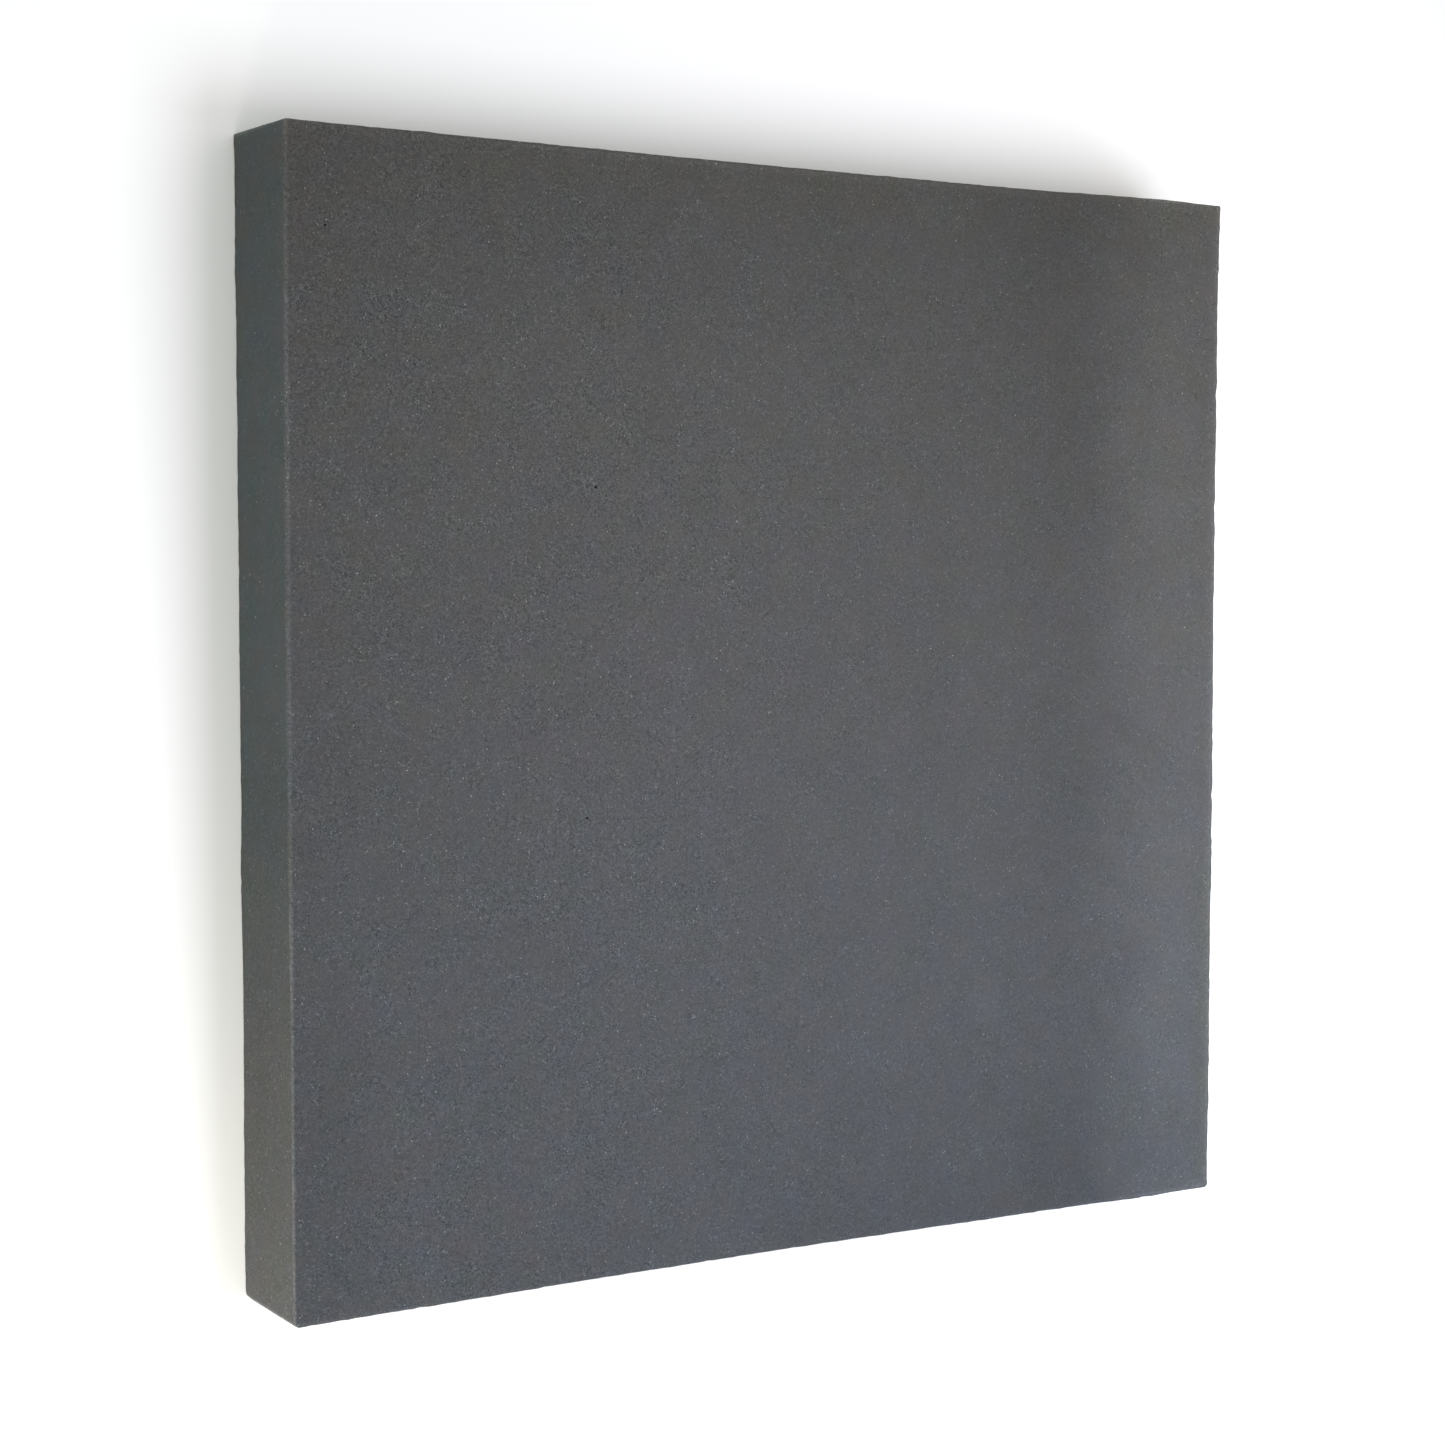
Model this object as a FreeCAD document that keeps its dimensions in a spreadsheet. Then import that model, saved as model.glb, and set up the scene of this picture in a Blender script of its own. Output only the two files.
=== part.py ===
# Polyether foam sheet: one square piece of open-cell foam, cut on all six
# sides, lying flat.  Millimetres.  X runs along the sheet's length, Y along its
# width, Z is up.  The origin is the middle of the face that it rests on.
import FreeCAD, Part
import os
import Sketcher

os.makedirs("parts", exist_ok=True)

doc = FreeCAD.newDocument("foam_sheet_model")

# ---------------------------------------------------------------- dimensions
# Driving sizes.  The sheet is cut with a hot or oscillating blade, so its edges
# are crisp: the rounding is only the soft last millimetre of a foam arris.  The
# two corners at the -Y side are worn a little rounder than the two at +Y.
SIZES = [
    ("sheet_length", 450.0, "along X"),
    ("sheet_width", 450.0, "along Y"),
    ("sheet_thick", 50.0, "along Z"),
    ("corner_near", 2.0, "radius of the two upright corners at -Y"),
    ("corner_far", 1.0, "radius of the two upright corners at +Y"),
    ("edge_round", 0.8, "radius of the edges around both large faces"),
]

sizes = doc.addObject("Spreadsheet::Sheet", "Sizes")
sizes.Label = "Sizes"
sizes.set("A1", "dimension")
sizes.set("B1", "mm")
sizes.set("C1", "what it is")
for row, (alias, value, note) in enumerate(SIZES, start=2):
    sizes.set("A%d" % row, alias)
    sizes.set("B%d" % row, str(value))
    sizes.setAlias("B%d" % row, alias)
    sizes.set("C%d" % row, note)
doc.recompute()


def origin_plane(body, role):
    for feature in body.Origin.OriginFeatures:
        if feature.Role == role:
            return feature
    raise RuntimeError("no origin plane " + role)


# ---------------------------------------------------------------- foam_sheet
body = doc.addObject("PartDesign::Body", "FoamSheet")
body.Label = "foam_sheet"

# Outline of the sheet: a rectangle centred on the origin.
outline = body.newObject("Sketcher::SketchObject", "Outline")
outline.AttachmentSupport = [(origin_plane(body, "XY_Plane"), "")]
outline.MapMode = "FlatFace"

x = sizes.sheet_length / 2.0
y = sizes.sheet_width / 2.0
corners = [(-x, -y), (x, -y), (x, y), (-x, y)]
for i in range(4):
    a = corners[i]
    b = corners[(i + 1) % 4]
    outline.addGeometry(Part.LineSegment(FreeCAD.Vector(a[0], a[1], 0),
                                         FreeCAD.Vector(b[0], b[1], 0)), False)
for i in range(4):
    outline.addConstraint(Sketcher.Constraint("Coincident", i, 2, (i + 1) % 4, 1))
outline.addConstraint(Sketcher.Constraint("Horizontal", 0))
outline.addConstraint(Sketcher.Constraint("Vertical", 1))
outline.addConstraint(Sketcher.Constraint("Horizontal", 2))
outline.addConstraint(Sketcher.Constraint("Vertical", 3))
# opposite corners lie symmetrically about the origin
outline.addConstraint(Sketcher.Constraint("Symmetric", 0, 1, 1, 2, -1, 1))
length_c = outline.addConstraint(Sketcher.Constraint("DistanceX", 0, 1, 0, 2, 2 * x))
outline.renameConstraint(length_c, "length")
width_c = outline.addConstraint(Sketcher.Constraint("DistanceY", 1, 1, 1, 2, 2 * y))
outline.renameConstraint(width_c, "width")
outline.setExpression("Constraints.length", "Sizes.sheet_length")
outline.setExpression("Constraints.width", "Sizes.sheet_width")
doc.recompute()

# Thickness.
pad = body.newObject("PartDesign::Pad", "Thickness")
pad.Profile = outline
pad.Length = sizes.sheet_thick
pad.setExpression("Length", "Sizes.sheet_thick")
doc.recompute()


def upright_edges(shape, side):
    """Names of the straight upright edges at the -Y (side -1) or +Y (side 1) side."""
    names = []
    for i, edge in enumerate(shape.Edges, start=1):
        a = edge.Vertexes[0].Point
        b = edge.Vertexes[-1].Point
        if abs(a.z - b.z) > 1.0 and abs(a.x - b.x) < 1e-6 and abs(a.y - b.y) < 1e-6:
            if a.y * side > 0:
                names.append("Edge%d" % i)
    return names


def rim_edges(shape):
    """Names of every edge that lies in one of the two large faces."""
    names = []
    low = shape.BoundBox.ZMin
    high = shape.BoundBox.ZMax
    for i, edge in enumerate(shape.Edges, start=1):
        box = edge.BoundBox
        if box.ZMax - box.ZMin < 1e-6:
            if abs(box.ZMin - low) < 1e-6 or abs(box.ZMin - high) < 1e-6:
                names.append("Edge%d" % i)
    return names


# Upright corners, -Y pair then +Y pair.
near = body.newObject("PartDesign::Fillet", "CornersNear")
near.Base = (pad, upright_edges(pad.Shape, -1))
near.Radius = sizes.corner_near
near.setExpression("Radius", "Sizes.corner_near")
doc.recompute()

far = body.newObject("PartDesign::Fillet", "CornersFar")
far.Base = (near, upright_edges(near.Shape, 1))
far.Radius = sizes.corner_far
far.setExpression("Radius", "Sizes.corner_far")
doc.recompute()

# The edges around the two large faces.
rim = body.newObject("PartDesign::Fillet", "FaceEdges")
rim.Base = (far, rim_edges(far.Shape))
rim.Radius = sizes.edge_round
rim.setExpression("Radius", "Sizes.edge_round")
body.Tip = rim
doc.recompute()

# ---------------------------------------------------------------- checks
for obj in doc.Objects:
    bad = [s for s in obj.State if s in ("Invalid", "Error")]
    if bad:
        raise RuntimeError("%s is %s" % (obj.Name, bad))

shape = body.Shape
if shape.isNull() or not shape.isValid():
    raise RuntimeError("foam_sheet has no valid shape")
if len(shape.Solids) != 1:
    raise RuntimeError("foam_sheet is %d solids, not 1" % len(shape.Solids))
box = shape.optimalBoundingBox(False, False)
for got, want in ((box.XLength, sizes.sheet_length),
                  (box.YLength, sizes.sheet_width),
                  (box.ZLength, sizes.sheet_thick)):
    if abs(got - want) > 0.01:
        raise RuntimeError("foam_sheet measures %.3f, not %.3f" % (got, want))
if abs(box.ZMin) > 0.001 or abs(box.XMin + box.XMax) > 0.001 or abs(box.YMin + box.YMax) > 0.001:
    raise RuntimeError("foam_sheet is off its origin")
if len(outline.Geometry) != 4 or outline.solve() != 0:
    raise RuntimeError("the outline does not solve")

# ---------------------------------------------------------------- output
shape.exportStep("parts/%s.step" % body.Label)
print("foam_sheet: %.1f x %.1f x %.1f mm, %d faces, volume %.1f cm3 of %.1f"
      % (box.XLength, box.YLength, box.ZLength, len(shape.Faces),
         shape.Volume / 1000.0,
         sizes.sheet_length * sizes.sheet_width * sizes.sheet_thick / 1000.0))
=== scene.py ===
# Polyether foam sheet lying flat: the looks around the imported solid.
# Metres, same frame as the solid: X length, Y width, Z up, origin under the
# middle of the sheet.
import math
import bpy
import numpy as np
from mathutils import Matrix, Vector


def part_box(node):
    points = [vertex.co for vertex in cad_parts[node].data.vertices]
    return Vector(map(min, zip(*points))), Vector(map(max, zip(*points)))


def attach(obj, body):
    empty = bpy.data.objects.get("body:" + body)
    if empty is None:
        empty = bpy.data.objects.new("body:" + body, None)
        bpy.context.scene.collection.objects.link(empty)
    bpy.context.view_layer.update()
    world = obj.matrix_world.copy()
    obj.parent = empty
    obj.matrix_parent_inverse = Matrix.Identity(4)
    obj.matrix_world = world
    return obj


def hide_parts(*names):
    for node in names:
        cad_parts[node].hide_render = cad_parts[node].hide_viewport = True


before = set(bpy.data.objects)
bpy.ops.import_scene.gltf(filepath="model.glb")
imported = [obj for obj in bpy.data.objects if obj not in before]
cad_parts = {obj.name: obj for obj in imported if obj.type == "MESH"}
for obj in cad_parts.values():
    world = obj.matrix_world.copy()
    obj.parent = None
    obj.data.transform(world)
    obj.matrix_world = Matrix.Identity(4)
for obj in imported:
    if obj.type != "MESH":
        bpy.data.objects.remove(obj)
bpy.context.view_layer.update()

lo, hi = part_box("foam_sheet")
LX, LY, TZ = (hi[0] - lo[0]), (hi[1] - lo[1]), (hi[2] - lo[2])
HX, HY = LX / 2.0, LY / 2.0
MM = 0.001
scene = bpy.context.scene


# ------------------------------------------------------------------ camera
# Looks down on the lying sheet from its left side, 57 degrees above the floor.
cam_data = bpy.data.cameras.new("camera")
cam = bpy.data.objects.new("camera", cam_data)
scene.collection.objects.link(cam)
cam_data.sensor_fit = "AUTO"
cam_data.sensor_width = 36.0
cam_data.lens = 65.8466
cam_data.dof.use_dof = False
right = Vector((0.8566941647701505, 0.001996374548438212, 0.5158208240633919))
down = Vector((-0.028789214323921758, -0.9982487651648062, 0.05167769330718209))
ahead = Vector((0.515020668699214, -0.059122054561747274, -0.855136418050952))
rot = Matrix((right, -down, -ahead)).transposed().to_4x4()
cam.matrix_world = Matrix.Translation(
    Vector((-0.5917802874608766, 0.061147035315063374, 0.9708018949845716))) @ rot
cam_data.clip_start, cam_data.clip_end = 0.01, 100.0
scene.camera = cam
scene.view_settings.view_transform = "Standard"
scene.view_settings.look = "None"


# ------------------------------------------------------------------ the mesh
def waves(rng, count, shortest, longest, dims):
    """A smooth random field: sums of waves between two wavelengths, rms about 1."""
    wl = np.exp(rng.uniform(math.log(shortest), math.log(longest), count))
    d = rng.normal(size=(count, dims))
    d /= np.linalg.norm(d, axis=1)[:, None]
    k = d * (2.0 * math.pi / wl)[:, None]
    ph = rng.uniform(0.0, 2.0 * math.pi, count)
    amp = math.sqrt(2.0 / count)

    def field(*coords):
        out = np.zeros_like(coords[0])
        for i in range(count):
            arg = ph[i]
            for a in range(dims):
                arg = arg + k[i, a] * coords[a]
            out += np.sin(arg)
        return out * amp
    return field


def smooth(a, b, v):
    s = np.clip((v - a) / (b - a), 0.0, 1.0)
    return s * s * (3.0 - 2.0 * s)


ENDS = np.array([0.0, 0.22, 0.45, 0.7, 1.0, 1.35, 1.8, 2.4, 3.2, 4.4]) * MM


def lines(length, pitch):
    """Grid lines along one side: close together at both ends."""
    inner = length - 2.0 * ENDS[-1]
    n = max(1, int(round(inner / pitch)))
    mid = ENDS[-1] + inner * np.arange(1, n) / n
    return np.concatenate([ENDS, mid, (length - ENDS)[::-1]])


gx = lines(LX, 3.0 * MM) - HX
gy = lines(LY, 3.0 * MM) - HY
gz = lines(TZ, 3.0 * MM)
nx, ny, nz = len(gx) - 1, len(gy) - 1, len(gz) - 1

# every lattice point on the skin of the block gets one vertex
ii, jj, kk = np.meshgrid(np.arange(nx + 1), np.arange(ny + 1), np.arange(nz + 1), indexing="ij")
skin = (ii == 0) | (ii == nx) | (jj == 0) | (jj == ny) | (kk == 0) | (kk == nz)
vid = -np.ones(skin.shape, np.int64)
vid[skin] = np.arange(int(skin.sum()))
vi, vj, vk = ii[skin], jj[skin], kk[skin]
X, Y, Z = gx[vi].copy(), gy[vj].copy(), gz[vk].copy()


def patch(a, b, c, d):
    return np.stack([a.ravel(), b.ravel(), c.ravel(), d.ravel()], axis=1)


quads = []        # in the order top, bottom, -Y, +Y, -X, +X
t = vid[:, :, nz]
quads.append(patch(t[:-1, :-1], t[1:, :-1], t[1:, 1:], t[:-1, 1:]))        # top
t = vid[:, :, 0]
quads.append(patch(t[:-1, :-1], t[:-1, 1:], t[1:, 1:], t[1:, :-1]))        # bottom
t = vid[:, 0, :]
quads.append(patch(t[:-1, :-1], t[1:, :-1], t[1:, 1:], t[:-1, 1:]))        # -Y
t = vid[:, ny, :]
quads.append(patch(t[:-1, :-1], t[:-1, 1:], t[1:, 1:], t[1:, :-1]))        # +Y
t = vid[0, :, :]
quads.append(patch(t[:-1, :-1], t[:-1, 1:], t[1:, 1:], t[1:, :-1]))        # -X
t = vid[nx, :, :]
quads.append(patch(t[:-1, :-1], t[1:, :-1], t[1:, 1:], t[:-1, 1:]))        # +X
quad_side = np.repeat(np.arange(6), [len(q) for q in quads])
quads = np.concatenate(quads)

rng = np.random.default_rng(20117)

# 1. upright corners: square corner rings become quarter circles
R_NEAR, R_FAR = 2.0 * MM, 1.0 * MM
for sx in (-1, 1):
    for sy, R in ((-1, R_NEAR), (1, R_FAR)):
        cx, cy = sx * (HX - R), sy * (HY - R)
        dx, dy = (X - cx) * sx, (Y - cy) * sy
        m = (dx > 0) & (dy > 0)
        q = np.maximum(dx, dy)
        h = np.hypot(dx, dy)
        f = np.where(h > 0, q / np.maximum(h, 1e-12), 1.0)
        X[m] = (cx + sx * dx * f)[m]
        Y[m] = (cy + sy * dy * f)[m]


def outline_normal(X, Y):
    """Distance in from the outline, and its outward direction in plan."""
    ex, ey = HX - np.abs(X), HY - np.abs(Y)
    nxv = np.where(ex < ey, np.sign(X), 0.0)
    nyv = np.where(ex < ey, 0.0, np.sign(Y))
    dist = np.minimum(ex, ey)
    for sx in (-1, 1):
        for sy, R in ((-1, R_NEAR), (1, R_FAR)):
            cx, cy = sx * (HX - R), sy * (HY - R)
            dx, dy = (X - cx) * sx, (Y - cy) * sy
            m = (dx > 0) & (dy > 0)
            h = np.maximum(np.hypot(dx, dy), 1e-12)
            nxv = np.where(m, sx * dx / h, nxv)
            nyv = np.where(m, sy * dy / h, nyv)
            dist = np.where(m, R - h, dist)
    return np.maximum(dist, 0.0), nxv, nyv


inset, ox, oy = outline_normal(X, Y)
to_top, to_bottom = TZ - Z, Z.copy()

# 2. the edges around both large faces: a soft foam arris whose radius wanders
edge_field = waves(rng, 28, 6 * MM, 60 * MM, 3)
radius = (0.85 + 0.16 * edge_field(X, Y, Z)) * MM
radius = np.clip(radius, 0.45 * MM, 1.3 * MM)
for depth, sign in ((to_top, 1.0), (to_bottom, -1.0)):
    da, db = radius - inset, radius - depth
    m = (da > 0) & (db > 0)
    q = np.maximum(da, db)
    h = np.maximum(np.hypot(da, db), 1e-12)
    na, nb = da * q / h, db * q / h
    X = np.where(m, X + ox * (na - da), X)
    Y = np.where(m, Y + oy * (na - da), Y)
    Z = np.where(m, Z + sign * (nb - db), Z)

# 3. broad, shallow unevenness of the cut faces
top = smooth(0.50 * TZ, TZ, Z)                # 1 at the upper face, 0 from half way down
side = 1.0 - smooth(0.0, 6.0 * MM, inset)     # 1 at the cut sides
face_wave = waves(rng, 30, 70 * MM, 320 * MM, 2)
face_ripple = waves(rng, 40, 14 * MM, 50 * MM, 2)
side_wave = waves(rng, 30, 40 * MM, 260 * MM, 3)
side_ripple = waves(rng, 40, 8 * MM, 30 * MM, 3)
dz = 0.15 * MM * face_wave(X, Y) + 0.03 * MM * face_ripple(X, Y)
# the last 40 mm at +X leans down a little, as where a sheet has been gripped
lean = smooth(HX - 52 * MM, HX - 24 * MM, X)
dz = dz - lean * (X - (HX - 52 * MM)) * 0.010
Z = Z + top * dz
# the sides cut along X are very slightly hollow, about a millimetre in the length
hollow = (1.0 - (X / HX) ** 2)
bow = np.where(Y > 0, 0.9, -1.5) * MM * hollow * smooth(0.0, HY, np.abs(Y))
Y = Y - bow
# and no side is cut quite true to the square: each is out by up to a millimetre
near_x = 1.0 - smooth(1.0 * MM, 7.0 * MM, HX - np.abs(X))
near_y = 1.0 - smooth(1.0 * MM, 7.0 * MM, HY - np.abs(Y))
plus_x = 0.9 + 0.56 * (1.0 - smooth(-0.05, 0.03, Y)) - 0.33 * np.exp(-((Y - 0.108) / 0.018) ** 2)
plus_x = plus_x + 0.25 * smooth(0.14, 0.165, Y) + 0.15 * smooth(0.200, 0.222, Y)
minus_x = (0.05 + np.where(Y > 0, 0.60, 0.10) * Y / HY) * (1.0 - Z / TZ)
foot = 0.35 * np.exp(-((Y + 0.058) / 0.020) ** 2) + 0.20 * np.exp(-((Y - 0.178) / 0.020) ** 2)
minus_x = minus_x + foot * (1.0 - Z / TZ)
lip = 0.45 * smooth(-0.03, 0.03, Y) * smooth(0.20, 0.16, Y) - 0.45 * smooth(-0.07, -0.12, Y)
minus_x = minus_x + (lip - 0.20 * smooth(-0.190, -0.222, Y)) * Z / TZ
plus_y = -0.50 + 0.25 * smooth(-0.21, -0.165, X) + 0.50 * smooth(0.112, 0.170, X) - 0.70 * smooth(0.190, 0.224, X)
plus_y = plus_y + 1.0 * smooth(-0.12, -0.222, X) * (1.0 - Z / TZ)
minus_y = 0.55 + 0.25 * smooth(-0.21, -0.17, X) + 0.36 * smooth(0.0, 0.06, X)
minus_y = minus_y + 0.35 * np.exp(-((X - 0.187) / 0.015) ** 2)
ds = side * (0.05 * side_wave(X, Y, Z) + 0.012 * side_ripple(X, Y, Z)) * MM
# the foot of one corner is worn rounder
worn = 0.3 * np.exp(-(Z / (4.0 * MM)) ** 2 - ((X + HX) ** 2 + (Y + HY) ** 2) / (2.6 * MM) ** 2)
move_x = ox * ds + (near_x * np.where(X > 0, plus_x, -minus_x) + worn) * MM
move_y = oy * ds + (near_y * np.where(Y > 0, plus_y, -minus_y) + worn) * MM
X = X + move_x
Y = Y + move_y

# 4. the arris itself: cell-sized nicks and pulls
near_edge = np.exp(-((inset + np.minimum(to_top, to_bottom)) / (1.3 * MM)) ** 2)
nick = waves(rng, 60, 1.8 * MM, 9 * MM, 3)(X, Y, Z)
nick = 0.055 * nick + 0.10 * np.minimum(nick + 1.4, 0.0)
pull = near_edge * nick * MM
X = X + ox * pull
Y = Y + oy * pull
Z = Z + np.where(to_top < to_bottom, 1.0, 0.0) * pull

Z = np.maximum(Z, 0.0)
verts = np.stack([X, Y, Z], axis=1)


# ------------------------------------------------------------------ pinholes
# Open voids in the cut faces, where the blade went through a large bubble.
def add_pits(verts, quads, chosen, rng):
    """Each chosen quad becomes a small funnel-shaped hole."""
    extra_v, extra_f, sizes = [], [], []
    base = len(verts)
    for qi, rad, depth, at in chosen:
        c = verts[quads[qi]]
        mid = c.mean(axis=0)
        u = c[1] - c[0]
        u /= np.linalg.norm(u)
        n = np.cross(c[1] - c[0], c[3] - c[0])
        n /= np.linalg.norm(n)
        v = np.cross(n, u)
        half = 0.5 * min(np.linalg.norm(c[1] - c[0]), np.linalg.norm(c[3] - c[0]))
        room = max(half - rad * 1.2, 0.0)
        if at is None:
            mid = mid + u * rng.uniform(-room, room) + v * rng.uniform(-room, room)
        else:
            away = at - mid
            mid = mid + u * np.clip(away @ u, -room, room) + v * np.clip(away @ v, -room, room)
        turn = rng.uniform(0, 2 * math.pi)
        squash = rng.uniform(0.68, 1.0)
        wob = 1.0 + rng.uniform(-0.12, 0.12, 8)
        rings = []
        for scale, down in ((1.0, 0.0), (0.86, 0.32), (0.55, 0.9), (0.2, 1.0)):
            ring = []
            for a in range(8):
                ang = 2 * math.pi * (a + 0.5) / 8
                p = np.array([math.cos(ang), math.sin(ang) * squash]) * wob[a]
                pr = np.array([p[0] * math.cos(turn) - p[1] * math.sin(turn),
                               p[0] * math.sin(turn) + p[1] * math.cos(turn)]) * rad * scale
                # the surface is not quite flat: keep the rim on the quad's plane
                ring.append(mid + u * pr[0] + v * pr[1] - n * depth * down)
            rings.append(ring)
        ids = []
        for ring in rings:
            ids.append([base + len(extra_v) + a for a in range(8)])
            extra_v.extend(ring)
        # stitch the quad's corners to the rim: every rim segment goes to the
        # corner that faces it, and the gaps between two corners are filled
        rel = np.array(rings[0]) - mid
        ang = np.arctan2(rel @ v, rel @ u)
        order = np.argsort(ang)
        relc = c - mid
        cang = np.arctan2(relc @ v, relc @ u)
        facing = []
        for a in range(8):
            m2 = 0.5 * (rel[order[a]] + rel[order[(a + 1) % 8]])
            am = math.atan2(m2 @ v, m2 @ u)
            off = np.abs((cang - am + math.pi) % (2 * math.pi) - math.pi)
            facing.append(int(np.argmin(off)))
        for a in range(8):
            here, nxt = ids[0][order[a]], ids[0][order[(a + 1) % 8]]
            k = facing[a - 1]
            while k != facing[a]:
                k2 = (k + 1) % 4
                extra_f.append((here, int(quads[qi][k]), int(quads[qi][k2])))
                k = k2
            extra_f.append((here, int(quads[qi][k]), nxt))
        seq = [[r[o] for o in order] for r in ids]
        for r0, r1 in zip(seq[:-1], seq[1:]):
            for a2 in range(8):
                extra_f.append((r0[a2], r0[(a2 + 1) % 8], r1[(a2 + 1) % 8], r1[a2]))
        extra_f.append(tuple(seq[-1]))
        sizes.append(len(extra_f) - sum(sizes))
    keep = np.ones(len(quads), bool)
    keep[[q[0] for q in chosen]] = False
    all_v = np.concatenate([verts, np.array(extra_v)]) if extra_v else verts
    faces = [tuple(int(i) for i in q) for q in quads[keep]] + extra_f
    from_quad = np.concatenate([np.nonzero(keep)[0], np.repeat([q[0] for q in chosen], sizes)])
    return all_v, faces, from_quad


qc = verts[quads].mean(axis=1)
q_edge = np.linalg.norm(verts[quads][:, 1] - verts[quads][:, 0], axis=1)
q_edge2 = np.linalg.norm(verts[quads][:, 3] - verts[quads][:, 0], axis=1)
roomy = np.minimum(q_edge, q_edge2) > 2.6 * MM
pool = np.nonzero(roomy)[0]
chosen, used = [], set()
# the ones that show as dark points on the upper face
for px, py, rad in ((-0.2088, 0.1867, 0.50), (-0.0956, 0.0921, 0.70), (-0.1002, -0.0386, 0.76)):
    d = np.where(roomy & (qc[:, 2] > TZ * 0.9), np.hypot(qc[:, 0] - px, qc[:, 1] - py), 9.0)
    qi = int(np.argmin(d))
    used.add(qi)
    chosen.append((qi, rad * MM, 3.0 * rad * MM, np.array([px, py, qc[qi, 2]])))
for qi in rng.permutation(pool)[:220]:
    if int(qi) in used:
        continue
    used.add(int(qi))
    rad = float(np.clip(rng.lognormal(math.log(0.22), 0.30), 0.13, 0.42))
    chosen.append((int(qi), rad * MM, rad * rng.uniform(0.9, 1.7) * MM, None))
flat_at = np.stack([gx[vi], gy[vj], gz[vk]], axis=1)     # before any rounding
verts, faces, from_quad = add_pits(verts, quads, chosen, rng)

mesh = bpy.data.meshes.new("foam_sheet_skin")
mesh.from_pydata([tuple(v) for v in verts], [], faces)
mesh.validate(verbose=False)
mesh.update()
mesh.polygons.foreach_set("use_smooth", np.ones(len(mesh.polygons), bool))
mesh.update()

# a flat map of the skin: the upper face and the four sides at one scale, the
# lower face a little smaller, cut in three along lattice lines
TOP_S, LOW_S, GAP = 0.678, 0.532, 0.003
cut_x = (1.0 - TOP_S - 3 * GAP) * LX / LOW_S - HX
cut_x = gx[gx < cut_x].max()
cut_y = gy[np.argmin(np.abs(gy - 0.0))]
q_mid = flat_at[quads].mean(axis=1)


def to_map(side, mid, p):
    """Place on the map of a point p of a face with this side and middle."""
    u, v, w = (p[:, 0] + HX) / LX, (p[:, 1] + HY) / LY, p[:, 2] / LX
    big, small = TOP_S, LOW_S
    col, row = TOP_S + 2 * GAP, TOP_S + 2 * GAP
    out = np.empty((len(p), 2))
    strip = TZ / LX * big + GAP
    spots = {
        0: (GAP + u * big, GAP + v * big),
        2: (GAP + u * big, row + w * big),
        3: (GAP + u * big, row + strip + w * big),
        4: (GAP + v * big, row + 2 * strip + w * big),
        5: (GAP + v * big, row + 3 * strip + w * big),
    }
    for k, (a, b) in spots.items():
        m = side == k
        out[m, 0], out[m, 1] = a[m], b[m]
    cu, cv = (cut_x + HX) / LX, (cut_y + HY) / LY
    m = (side == 1) & (mid[:, 0] < cut_x)
    out[m, 0], out[m, 1] = (col + u * small)[m], (GAP + v * small)[m]
    base = 2 * GAP + small
    m = (side == 1) & (mid[:, 0] > cut_x) & (mid[:, 1] < cut_y)
    out[m, 0], out[m, 1] = (col + v * small)[m], (base + (u - cu) * small)[m]
    m = (side == 1) & (mid[:, 0] > cut_x) & (mid[:, 1] > cut_y)
    out[m, 0] = (col + (v - cv) * small)[m]
    out[m, 1] = (base + (1.0 - cu) * small + GAP + (u - cu) * small)[m]
    return out


loop_v = np.empty(len(mesh.loops), np.int32)
mesh.loops.foreach_get("vertex_index", loop_v)
loop_n = np.empty(len(mesh.polygons), np.int32)
mesh.polygons.foreach_get("loop_total", loop_n)
if len(mesh.polygons) != len(faces):
    raise RuntimeError("the skin lost faces")
loop_q = np.repeat(from_quad, loop_n)
pit_q = quads[np.repeat([c[0] for c in chosen], 32)]      # a pit has 32 points
moved = verts[pit_q].mean(axis=1) - flat_at[pit_q].mean(axis=1)
at = np.concatenate([flat_at, verts[len(flat_at):] - moved])
uv = to_map(quad_side[loop_q], q_mid[loop_q], at[loop_v])
layer = mesh.uv_layers.new(name="OFBake")
layer.uv.foreach_set("vector", uv.astype(np.float32).ravel())
sheet = bpy.data.objects.new("foam_sheet_skin", mesh)
scene.collection.objects.link(sheet)


# ------------------------------------------------------------------ material
class Nodes:
    """Short names for building a node tree."""

    def __init__(self, tree):
        self.tree = tree

    def new(self, kind, **settings):
        n = self.tree.nodes.new(kind)
        for k, v in settings.items():
            setattr(n, k, v)
        return n

    def put(self, sock, v):
        if isinstance(v, bpy.types.NodeSocket):
            self.tree.links.new(v, sock)
        else:
            sock.default_value = v

    def math(self, op, a, b=None, c=None, clamp=False):
        n = self.new("ShaderNodeMath", operation=op, use_clamp=clamp)
        for s, v in zip(n.inputs, (a, b, c)):
            if v is not None:
                self.put(s, v)
        return n.outputs[0]

    def ramp(self, v, a, b, lo=0.0, hi=1.0, how="SMOOTHSTEP"):
        n = self.new("ShaderNodeMapRange", interpolation_type=how)
        for s, w in zip(("Value", "From Min", "From Max", "To Min", "To Max"), (v, a, b, lo, hi)):
            self.put(n.inputs[s], w)
        return n.outputs[0]

    def noise(self, vec, scale, detail=2.0, rough=0.5, distort=0.0):
        n = self.new("ShaderNodeTexNoise")
        self.put(n.inputs["Vector"], vec)
        for s, w in (("Scale", scale), ("Detail", detail), ("Roughness", rough), ("Distortion", distort)):
            n.inputs[s].default_value = w
        return n

    def voronoi(self, vec, scale, feature="F1", randomness=1.0):
        n = self.new("ShaderNodeTexVoronoi", feature=feature)
        self.put(n.inputs["Vector"], vec)
        n.inputs["Scale"].default_value = scale
        n.inputs["Randomness"].default_value = randomness
        return n


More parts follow.
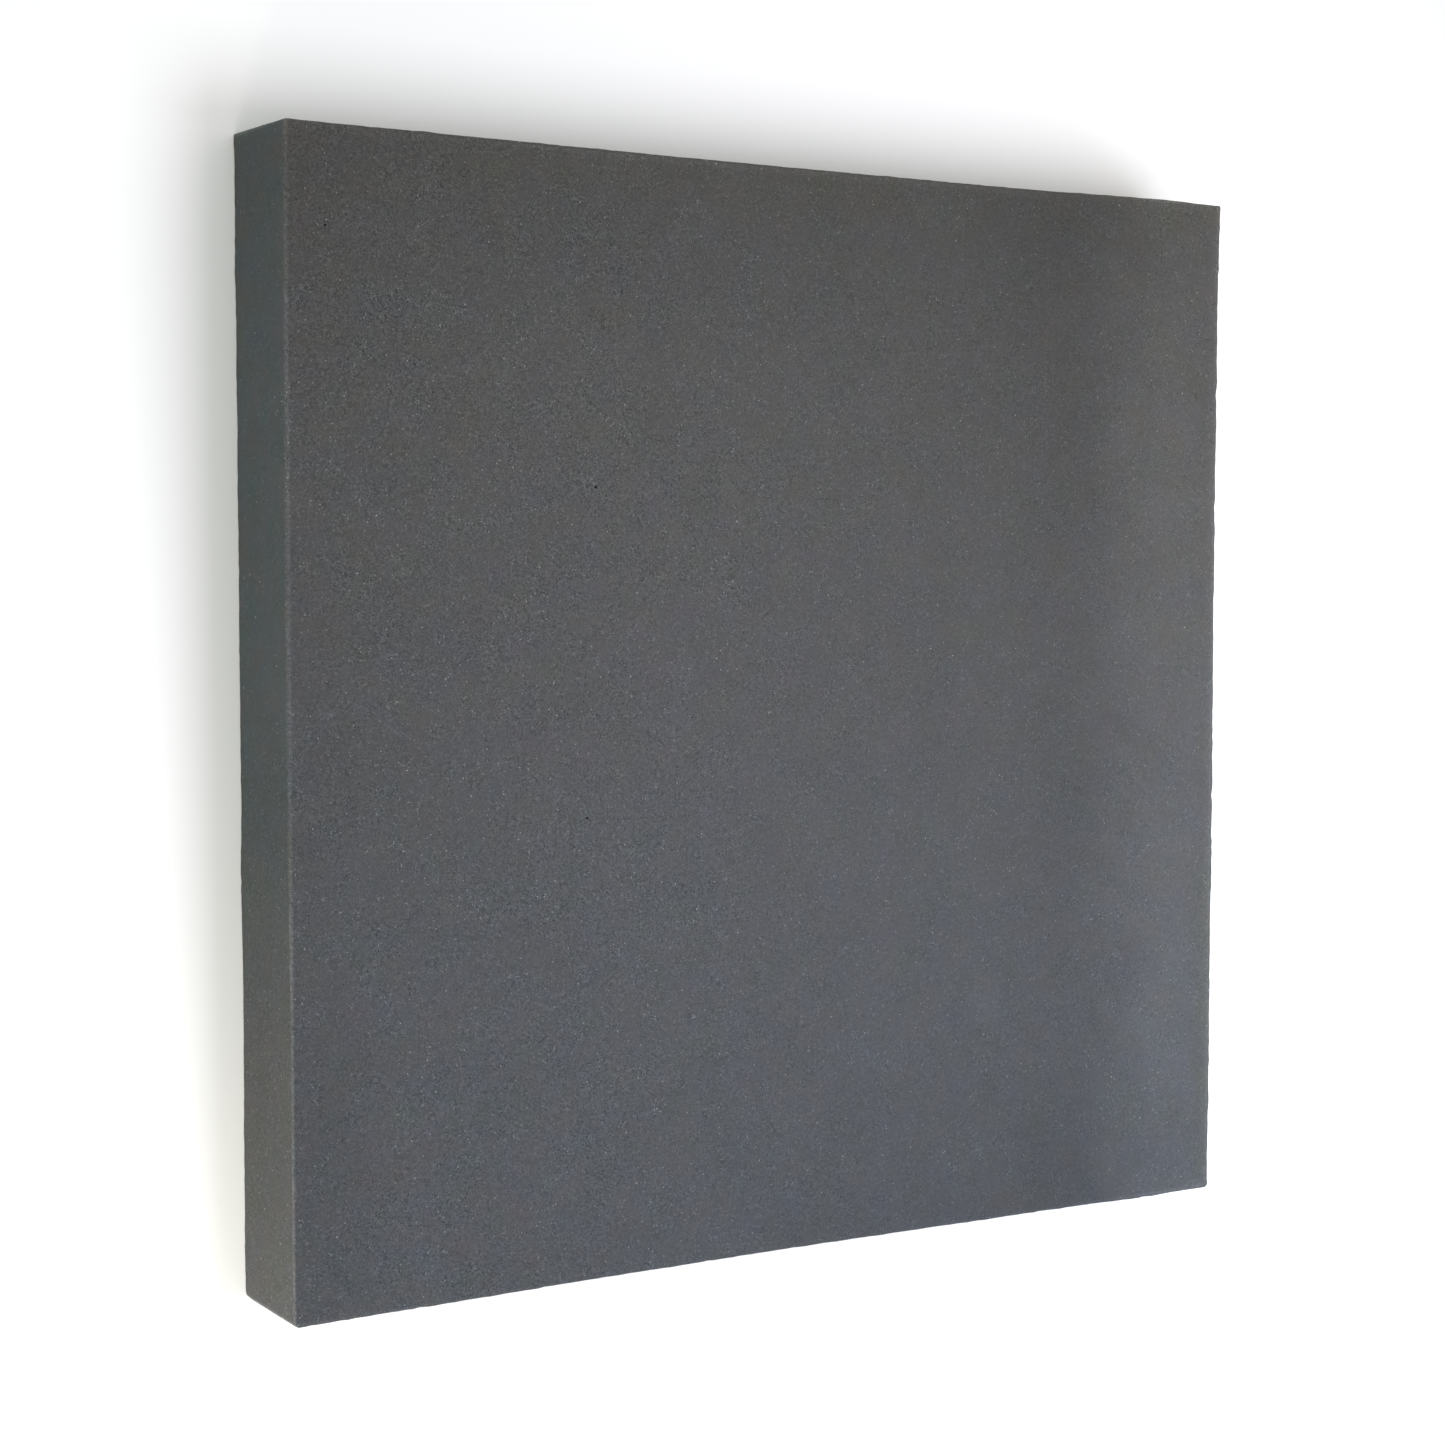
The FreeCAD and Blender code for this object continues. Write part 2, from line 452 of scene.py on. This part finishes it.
ALBEDO = 0.0633          # mean reflectance of the dark grey foam
TONE_BASE = 0.988
CELL_SPREAD = 0.43
# gains of the painted glints: in the windows, in the arcs along struts, and of the rare flashes
WINDOW_GLINT_GAIN = 1.15
ARC_GAIN = 0.26
GLINT_GAIN = 1.6

mat = bpy.data.materials.new("open_cell_foam")
mat.use_nodes = True
tree = mat.node_tree
tree.nodes.clear()
N = Nodes(tree)
out = N.new("ShaderNodeOutputMaterial")
bsdf = N.new("ShaderNodeBsdfPrincipled")
tree.links.new(bsdf.outputs["BSDF"], out.inputs["Surface"])
place = N.new("ShaderNodeTexCoord").outputs["Object"]
xyz = N.new("ShaderNodeSeparateXYZ")
N.put(xyz.inputs[0], place)
px, py, pz = xyz.outputs

# distances to the six faces, and the middle one of the three: how far the
# nearest edge is
ax = N.math("SUBTRACT", HX, N.math("ABSOLUTE", px))
ay = N.math("SUBTRACT", HY, N.math("ABSOLUTE", py))
az = N.math("MINIMUM", pz, N.math("SUBTRACT", TZ, pz))
low_xy = N.math("MINIMUM", ax, ay)
high_xy = N.math("MAXIMUM", ax, ay)
edge_d = N.math("MAXIMUM", low_xy, N.math("MINIMUM", high_xy, az))
on_side = N.ramp(az, 0.9 * MM, 2.2 * MM)

# cells: a slightly warped 3-D foam, cut by the surface
warp = N.noise(place, 900.0, 1.0).outputs["Color"]
vadd = N.new("ShaderNodeVectorMath", operation="MULTIPLY_ADD")
N.put(vadd.inputs[0], warp)
vadd.inputs[1].default_value = (0.00030,) * 3
N.put(vadd.inputs[2], place)
cells_at = vadd.outputs[0]
CELL, NET = 1.0 / (0.64 * MM), 1.0 / (1.5 * MM)
cell = N.voronoi(cells_at, CELL)
wall = N.voronoi(cells_at, NET, feature="DISTANCE_TO_EDGE")
rnd = N.new("ShaderNodeSeparateColor")
N.put(rnd.inputs[0], cell.outputs["Color"])
hollow_c = N.ramp(cell.outputs["Distance"], 0.0, 0.55, 1.0, 0.0)
fine = N.noise(place, 2100.0, 1.0, 0.6).outputs["Fac"]
clump = N.noise(place, 500.0, 2.0, 0.6).outputs["Fac"]
hue = N.noise(place, 72.0, 3.0, 0.6)

# tone = open cells dark, every cell a tone of its own, some cells closed by a pale
# window with a painted glint, and torn struts paler in short arcs with painted highlights
open_cell = N.ramp(rnd.outputs[0], 0.15, 0.85)
tone = N.math("MULTIPLY_ADD", N.math("MULTIPLY", hollow_c, open_cell), -0.30, TONE_BASE)
tone = N.math("MULTIPLY_ADD", N.math("SUBTRACT", fine, 0.5), 0.46, tone)
tone = N.math("MULTIPLY_ADD", N.math("SUBTRACT", rnd.outputs[2], 0.5), CELL_SPREAD, tone)
arc = N.math("MULTIPLY", N.ramp(wall.outputs["Distance"], 0.02, 0.13, 1.0, 0.0), N.ramp(clump, 0.38, 0.72))
tone = N.math("MULTIPLY_ADD", arc, ARC_GAIN, tone)
# painted glint: pale closed windows made brighter still in the colour, as if catching the light
window_glint = N.math("MULTIPLY", N.math("POWER", rnd.outputs[1], 18.0), N.ramp(cell.outputs["Distance"], 0.62, 0.25))
window_glint = N.math("MULTIPLY", window_glint, N.ramp(clump, 0.35, 0.68, 0.65, 1.5))
tone = N.math("MULTIPLY_ADD", window_glint, WINDOW_GLINT_GAIN, tone)
dark = N.math("MULTIPLY", N.ramp(rnd.outputs[0], 0.955, 0.99), N.ramp(cell.outputs["Distance"], 0.6, 0.15))
tone = N.math("MULTIPLY_ADD", dark, -0.3, tone)
# the knife leaves the sides smoother, most of all the +Y half of the -X side,
# and the face a little smoother towards +X and in patches
left_side = N.math("MULTIPLY", on_side, N.ramp(px, -HX + 1.5 * MM, -HX + 4.0 * MM, 1.0, 0.0))
smoother = N.math("MULTIPLY", left_side, N.ramp(py, -0.018, 0.008, -0.02, 0.54))
smoother = N.math("MULTIPLY_ADD", on_side, 0.16, smoother)
contrast = N.math("MULTIPLY", N.ramp(px, -0.17, 0.10, 1.05, 0.77), N.ramp(hue.outputs["Fac"], 0.36, 0.64, 1.16, 0.85))
tufts = N.noise(place, 165.0, 2.0, 0.55).outputs["Fac"]
contrast = N.math("MULTIPLY", contrast, N.ramp(tufts, 0.36, 0.66, 0.72, 1.36))
calm = N.math("MULTIPLY", N.ramp(px, -0.08, 0.08, 0.0, 0.085), N.ramp(py, 0.09, 0.02))
crisp = N.ramp(py, 0.03, 0.13, 1.0, 1.05)
contrast = N.math("MULTIPLY", contrast, N.math("SUBTRACT", crisp, calm))
contrast = N.math("SUBTRACT", contrast, smoother)
tone = N.math("MULTIPLY_ADD", N.math("SUBTRACT", tone, 1.0), contrast, 1.0)
# painted glints: a few windows flash, fewer of them where the cut is smooth
rare = N.math("MULTIPLY_ADD", left_side, 0.0012, N.math("MULTIPLY_ADD", smoother, 0.0045, 0.9945))
painted_glint = N.math("MULTIPLY", N.ramp(rnd.outputs[1], rare, 0.9996), N.ramp(cell.outputs["Distance"], 0.50, 0.20))
tone = N.math("MULTIPLY_ADD", painted_glint, N.math("MULTIPLY_ADD", smoother, 3.6 * GLINT_GAIN, GLINT_GAIN), tone)

# broad mottling
broad = N.noise(place, 38.0, 3.0, 0.55).outputs["Fac"]
patchy = N.noise(place, 105.0, 1.0, 0.5).outputs["Fac"]
tone = N.math("MULTIPLY", tone, N.ramp(broad, 0.2, 0.8, 0.964, 1.036, "LINEAR"))
tone = N.math("MULTIPLY", tone, N.ramp(patchy, 0.2, 0.8, 0.968, 1.032, "LINEAR"))
haze = N.noise(place, 20.0, 2.0, 0.5).outputs["Fac"]
tone = N.math("MULTIPLY_ADD", N.math("SUBTRACT", haze, 0.5), N.ramp(px, 0.04, 0.14, 0.05, 0.13), tone)

# painted light and shade in the tone: a paler strip along +X with a darker band before
# it, darker towards the other three edges and in the +X +Y quarter
def bell(v, middle, width):
    off = N.math("DIVIDE", N.math("SUBTRACT", v, middle), width)
    return N.math("EXPONENT", N.math("MULTIPLY", N.math("MULTIPLY", off, off), -1.0))


along = N.math("MULTIPLY_ADD", N.math("SUBTRACT", broad, 0.5), 0.034, px)
painted_light_tone = N.math("ADD", 1.0, N.ramp(along, 0.147, 0.199, 0.0, 0.24))
painted_light_tone = N.math("SUBTRACT", painted_light_tone, N.math("MULTIPLY", bell(along, 0.132, 0.022), 0.05))
painted_light_tone = N.math("SUBTRACT", painted_light_tone, N.ramp(py, 0.125, 0.228, 0.0, 0.115))
painted_light_tone = N.math("SUBTRACT", painted_light_tone, N.ramp(px, -0.165, -0.225, 0.0, 0.045))
lower = N.math("ADD", N.ramp(px, -0.03, 0.06, 0.03, 0.085), N.ramp(px, 0.09, 0.15, 0.0, 0.06))
painted_light_tone = N.math("SUBTRACT", painted_light_tone, N.math("MULTIPLY", lower, N.ramp(py, -0.135, -0.222)))
quarter = N.math("MULTIPLY", N.ramp(px, 0.05, 0.12, 0.0, 0.065), N.ramp(py, 0.05, 0.14))
painted_light_tone = N.math("SUBTRACT", painted_light_tone, quarter)
corner = N.math("MULTIPLY", N.ramp(px, -0.180, -0.213, 0.0, 0.05), N.ramp(py, -0.08, -0.14))
painted_light_tone = N.math("SUBTRACT", painted_light_tone, corner)
painted_light_tone = N.math("MULTIPLY_ADD", N.math("MULTIPLY", bell(px, -0.01, 0.10), bell(py, 0.0, 0.11)), 0.035, painted_light_tone)
painted_light_tone = N.math("MULTIPLY_ADD", bell(px, -0.072, 0.065), 0.020, painted_light_tone)
painted_light_tone = N.math("MULTIPLY_ADD", N.math("MULTIPLY", bell(px, 0.200, 0.020), N.ramp(py, 0.0, -0.15)), 0.035, painted_light_tone)
# soft paler spots on the upper face, a finger wide
for sx, sy, r, amp in ((-0.1801, 0.2042, 0.009, 0.06), (-0.1666, 0.2026, 0.007, 0.06),
                       (-0.0915, 0.2043, 0.007, 0.05), (0.0968, -0.1277, 0.017, 0.10),
                       (0.1467, -0.1341, 0.010, 0.05), (-0.2098, 0.1075, 0.010, 0.05)):
    away = N.new("ShaderNodeVectorMath", operation="DISTANCE")
    N.put(away.inputs[0], place)
    away.inputs[1].default_value = (sx, sy, TZ)
    painted_light_tone = N.math("ADD", painted_light_tone, N.ramp(away.outputs["Value"], 0.0, r, amp, 0.0))
# the cut sides are a shade paler in random smears; the -X side has painted light and
# shade: paler towards the floor, where contact shade is painted out, darker in one band
# across it and two thirds up, paler towards both ends, with streaks along it
left_shade_dip = N.math("DIVIDE", N.math("ADD", py, 0.035), 0.030)
left_shade_dip = N.math("EXPONENT", N.math("MULTIPLY", N.math("MULTIPLY", left_shade_dip, left_shade_dip), -1.0))
left_painted_light_and_streaks = N.math("MULTIPLY_ADD", left_shade_dip, -0.09, N.ramp(py, -0.05, 0.04, 0.0, 0.031))
left_painted_light_and_streaks = N.math("ADD", left_painted_light_and_streaks, N.ramp(py, -0.090, -0.130, 0.0, 0.030))
left_painted_light_and_streaks = N.math("ADD", left_painted_light_and_streaks, N.ramp(py, -0.150, -0.205, 0.0, 0.018))
left_painted_light_and_streaks = N.math("ADD", left_painted_light_and_streaks, N.ramp(pz, 18.0 * MM, 2.0 * MM, 0.0, 0.13))
left_painted_light_and_streaks = N.math("MULTIPLY_ADD", bell(pz, 33.0 * MM, 14.0 * MM), -0.038, left_painted_light_and_streaks)
stroke = N.new("ShaderNodeVectorMath", operation="MULTIPLY")
N.put(stroke.inputs[0], place)
stroke.inputs[1].default_value = (0.0, 1.0, 0.12)
strokes = N.noise(stroke.outputs[0], 52.0, 2.0, 0.5).outputs["Fac"]
left_painted_light_and_streaks = N.math("ADD", left_painted_light_and_streaks, N.ramp(strokes, 0.25, 0.75, -0.032, 0.032, "LINEAR"))
smear = N.noise(place, 300.0, 1.0, 0.5).outputs["Fac"]
side_gain = N.ramp(smear, 0.2, 0.8, 0.005, 0.095, "LINEAR")
painted_light_tone = N.math("MULTIPLY", painted_light_tone, N.math("MULTIPLY_ADD", on_side, side_gain, 1.0))
painted_light_tone = N.math("MULTIPLY", painted_light_tone, N.math("MULTIPLY_ADD", left_side, left_painted_light_and_streaks, 1.0))
# the painted light and shade goes into the foam's tone here
tone = N.math("MULTIPLY", tone, painted_light_tone)

# the arris is paler, partly from torn cell ends and partly a painted highlight where the
# rounded arris catches light, most of all along the -X side
rim = N.ramp(edge_d, 0.35 * MM, 1.65 * MM, 1.0, 0.0)
rim = N.math("MULTIPLY", rim, N.ramp(clump, 0.3, 0.7, 0.75, 1.1))
left_rim = N.math("MULTIPLY", rim, N.ramp(px, -HX + 2.0 * MM, -HX + 3.0 * MM, 1.0, 0.0))
rim_gain = N.math("ADD", N.ramp(px, -HX + 2.0 * MM, -HX + 3.0 * MM, N.ramp(py, -0.04, -0.09, 0.48, 0.88), 0.20), N.ramp(py, HY - 3.0 * MM, HY - 2.0 * MM, 0.0, 0.19))
rim = N.math("MULTIPLY", rim, rim_gain)
tone = N.math("MULTIPLY", tone, N.math("ADD", rim, 1.0))
# and a painted highlight on the last few millimetres at +Y and +X, fainter at -Y
wide = N.math("MULTIPLY", N.math("ADD", bell(px, 0.0, 0.13), 0.9), N.ramp(py, HY - 7.0 * MM, HY - 6.0 * MM, 0.0, 0.105))
wide = N.math("MAXIMUM", wide, N.ramp(px, HX - 9.0 * MM, HX - 8.0 * MM, 0.0, 0.115))
wide = N.math("MAXIMUM", wide, N.ramp(py, -HY + 7.0 * MM, -HY + 6.0 * MM, 0.0, 0.03))
wide = N.math("MULTIPLY", wide, N.ramp(edge_d, 1.2 * MM, 6.0 * MM, 1.0, 0.0))
tone = N.math("MULTIPLY", tone, N.math("ADD", wide, 1.0))
tone = N.math("MAXIMUM", tone, 0.10)

# colour: a painted tint of the light, neutral towards +Y and bluish towards -Y, and warmer in
# the last of the +Y edge, with the foam's own patches of both; the -X side has a painted trace of green towards +Y
painted_light_drift = N.ramp(py, -0.20, 0.17)


def mixed(factor, first, second):
    n = N.new("ShaderNodeMix", data_type="RGBA", blend_type="MIX")
    n.clamp_factor = False
    N.put(n.inputs[0], factor)
    N.put(n.inputs[6], first)
    N.put(n.inputs[7], second)
    return n.outputs[2]


def scaled(vec, gain, offset):
    n = N.new("ShaderNodeVectorMath", operation="MULTIPLY_ADD")
    N.put(n.inputs[0], vec)
    n.inputs[1].default_value = gain
    n.inputs[2].default_value = offset
    return n.outputs[0]


def times(a, b):
    n = N.new("ShaderNodeVectorMath", operation="MULTIPLY")
    N.put(n.inputs[0], a)
    N.put(n.inputs[1], b)
    return n.outputs[0]


tint = mixed(painted_light_drift, (0.935, 1.0, 1.098, 1.0), (1.008, 1.0, 0.980, 1.0))
tint = times(tint, mixed(N.ramp(py, 0.190, 0.224), (1.0, 1.0, 1.0, 1.0), (1.012, 1.0, 0.945, 1.0)))
tint = times(tint, mixed(N.ramp(py, -0.170, -0.215), (1.0, 1.0, 1.0, 1.0), (1.0, 1.0, 1.018, 1.0)))
left_painted_tint = mixed(N.ramp(py, -0.150, -0.010), (0.976, 1.0, 1.000, 1.0), (0.864, 1.0, 1.016, 1.0))
# the painted glints on the -X side get a bluish tint
left_painted_tint = mixed(painted_glint, left_painted_tint, (0.975, 1.0, 1.06, 1.0))
side_tint = mixed(left_side, (0.975, 1.0, 1.01, 1.0), left_painted_tint)
strong = N.math("MULTIPLY", N.ramp(px, -0.05, -0.15, 0.0, 0.8), N.ramp(py, -0.05, -0.14))
patches = mixed(strong, scaled(hue.outputs["Color"], (0.19, 0.0, 0.30), (0.905, 1.0, 0.85)),
                scaled(hue.outputs["Color"], (0.44, 0.0, 0.34), (0.78, 1.0, 0.83)))
side_patches = mixed(N.ramp(py, -0.05, 0.03), scaled(hue.outputs["Color"], (0.30, 0.0, 0.40), (0.85, 1.0, 0.80)),
                     scaled(hue.outputs["Color"], (0.64, 0.0, 0.46), (0.68, 1.0, 0.77)))
patches = mixed(left_side, patches, side_patches)
# the painted rim highlight and the lower part of the +X edge get painted tints of the light too
tint = mixed(N.math("MULTIPLY", left_rim, N.ramp(py, -0.16, -0.02)), tint, times(tint, (0.955, 1.0, 1.0)))
tint = mixed(N.math("MULTIPLY", left_rim, N.ramp(py, 0.02, -0.06)), tint, times(tint, (1.015, 1.0, 0.94)))
right_rim = N.math("MULTIPLY", N.ramp(px, HX - 14.0 * MM, HX - 2.0 * MM), N.ramp(py, 0.0, -0.13))
tint = mixed(right_rim, tint, times(tint, (1.012, 1.0, 0.912)))
scale_all = N.new("ShaderNodeVectorMath", operation="SCALE")
N.put(scale_all.inputs[0], times(patches, mixed(on_side, tint, side_tint)))
scale_all.inputs[3].default_value = ALBEDO
scale_rgb = N.new("ShaderNodeVectorMath", operation="SCALE")
N.put(scale_rgb.inputs[0], scale_all.outputs[0])
N.put(scale_rgb.inputs[3], tone)
N.put(bsdf.inputs["Base Color"], scale_rgb.outputs[0])

rough = N.math("SUBTRACT", 0.92, N.math("MULTIPLY", window_glint, 0.5))
N.put(bsdf.inputs["Roughness"], rough)
bsdf.inputs["Specular IOR Level"].default_value = 0.25
bsdf.inputs["Sheen Weight"].default_value = 0.0

height = N.math("MULTIPLY_ADD", fine, 0.6, N.math("MULTIPLY", hollow_c, -1.0))
height = N.math("MULTIPLY", height, N.math("MULTIPLY_ADD", smoother, -1.3, 1.1))
bump = N.new("ShaderNodeBump")
bump.inputs["Strength"].default_value = 0.6
bump.inputs["Distance"].default_value = 0.00012
N.put(bump.inputs["Height"], height)
N.put(bsdf.inputs["Normal"], bump.outputs[0])
mesh.materials.append(mat)

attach(sheet, "root")
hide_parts("foam_sheet")


# ------------------------------------------------------------------ floor and light
def plain(name, color, rough):
    m = bpy.data.materials.new(name)
    m.use_nodes = True
    b = m.node_tree.nodes["Principled BSDF"]
    b.inputs["Base Color"].default_value = (*color, 1.0)
    b.inputs["Roughness"].default_value = rough
    b.inputs["Specular IOR Level"].default_value = 0.1
    return m


fm = bpy.data.meshes.new("floor")
S = 30.0
fm.from_pydata([(-S, -S, -0.0003), (S, -S, -0.0003), (S, S, -0.0003), (-S, S, -0.0003)], [], [(0, 1, 2, 3)])
floor = bpy.data.objects.new("floor", fm)
scene.collection.objects.link(floor)
fm.materials.append(plain("pale_floor", (0.95, 0.95, 0.95), 0.9))

world = bpy.data.worlds.new("studio")
scene.world = world
world.use_nodes = True
wn = world.node_tree.nodes["Background"]
wn.inputs["Color"].default_value = (1.0, 1.0, 1.0, 1.0)
wn.inputs["Strength"].default_value = 0.70


def softbox(name, at, aim, size, power, color=(1.0, 1.0, 1.0)):
    d = bpy.data.lights.new(name, "AREA")
    d.shape = "RECTANGLE"
    d.size, d.size_y = size
    d.energy = power
    d.color = color
    o = bpy.data.objects.new(name, d)
    scene.collection.objects.link(o)
    o.location = at
    o.rotation_mode = "QUATERNION"
    o.rotation_quaternion = (Vector(aim) - Vector(at)).to_track_quat("-Z", "Y")
    return o


# one large box overhead, a nearer one over the middle, a low one at the lower
# right, a strip along the right side, and small or far low ones at the left
softbox("overhead", (0.0, 0.0, 1.4), (0.0, 0.0, 0.0), (1.2, 1.2), 1.59, (1.0, 0.928, 0.80))
softbox("middle", (0.08, -0.08, 0.6), (0.08, -0.08, 0.0), (0.4, 0.4), 2.55, (0.895, 0.891, 1.0))
softbox("lower_right", (0.6, -0.4, 0.22), (0.15, -0.1, 0.04), (0.5, 0.25), 1.97, (0.667, 0.833, 1.0))
softbox("strip_right", (0.36, -0.02, 0.14), (0.2, -0.02, 0.05), (0.7, 0.06), 0.185, (1.0, 0.878, 0.702))
softbox("corner_left", (-0.42, -0.42, 0.12), (-0.22, -0.2, 0.02), (0.12, 0.12), 1.11, (1.0, 0.944, 0.836))
softbox("left_far", (-1.3, 0.1, 0.9), (-0.2, 0.0, 0.0), (0.9, 0.6), 2.13, (0.80, 1.0, 0.80))
